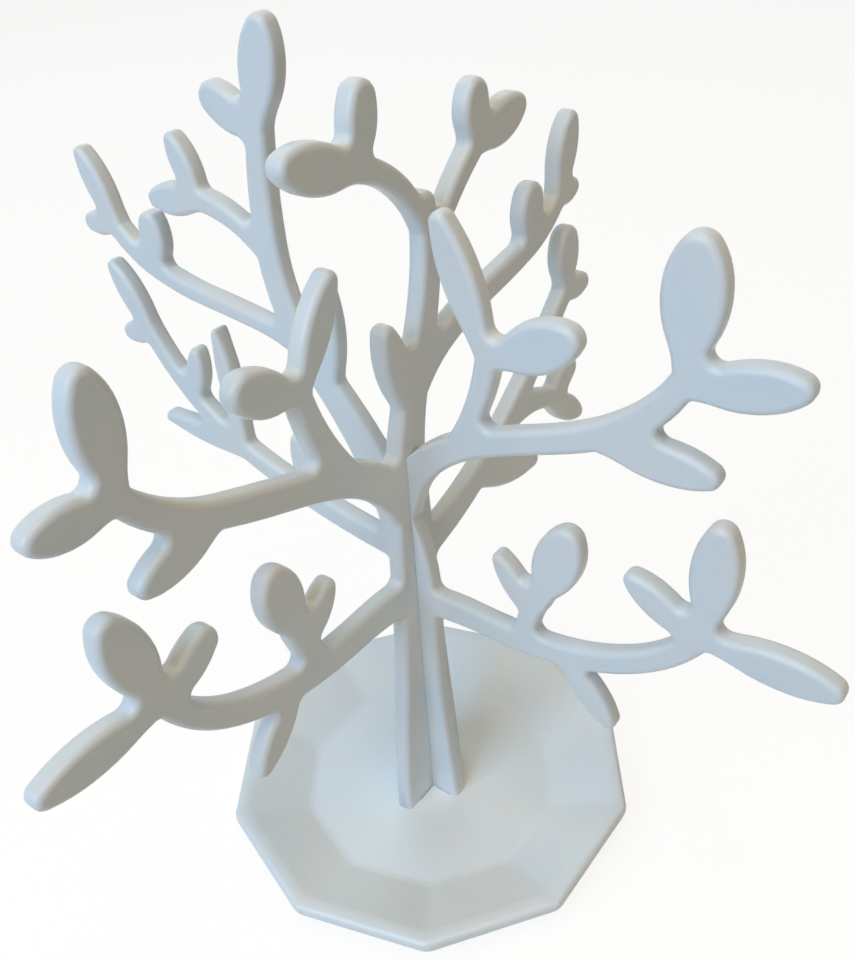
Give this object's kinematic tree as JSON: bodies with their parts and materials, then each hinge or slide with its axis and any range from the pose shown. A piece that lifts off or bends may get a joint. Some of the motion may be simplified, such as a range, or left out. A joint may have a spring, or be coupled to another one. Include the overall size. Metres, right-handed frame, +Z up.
{
  "type": "jewellery tree",
  "caption": "Tree-shaped plates slotted together crosswise and standing in a ten-sided dish, for hanging and laying out small jewellery.",
  "frame": {"origin": "middle of the dish's underside, where it stands on the table", "axes": "+Z up the trunk; one tree plate lies along X with its pictured front half towards -X, the other along Y with its front half towards -Y; the camera looks from about -X-Y"},
  "size_m": [0.1567, 0.1669, 0.1767],
  "materials": {
    "dish": "soft gloss white cast resin",
    "tree": "soft gloss white cast resin"
  },
  "bodies": {
    "dish": {"dish": "dish"},
    "plate_b": {"plate_b": "tree"},
    "plate_a": {"plate_a": "tree"}
  },
  "joints": [
    {"name": "plate_b_lift", "type": "slide", "parent": "dish", "child": "plate_b", "axis": [0, 0, 1], "range_m": [0, 0.04]},
    {"name": "plate_a_lift", "type": "slide", "parent": "plate_b", "child": "plate_a", "axis": [0, 0, 1], "range_m": [0, 0.05]}
  ]
}
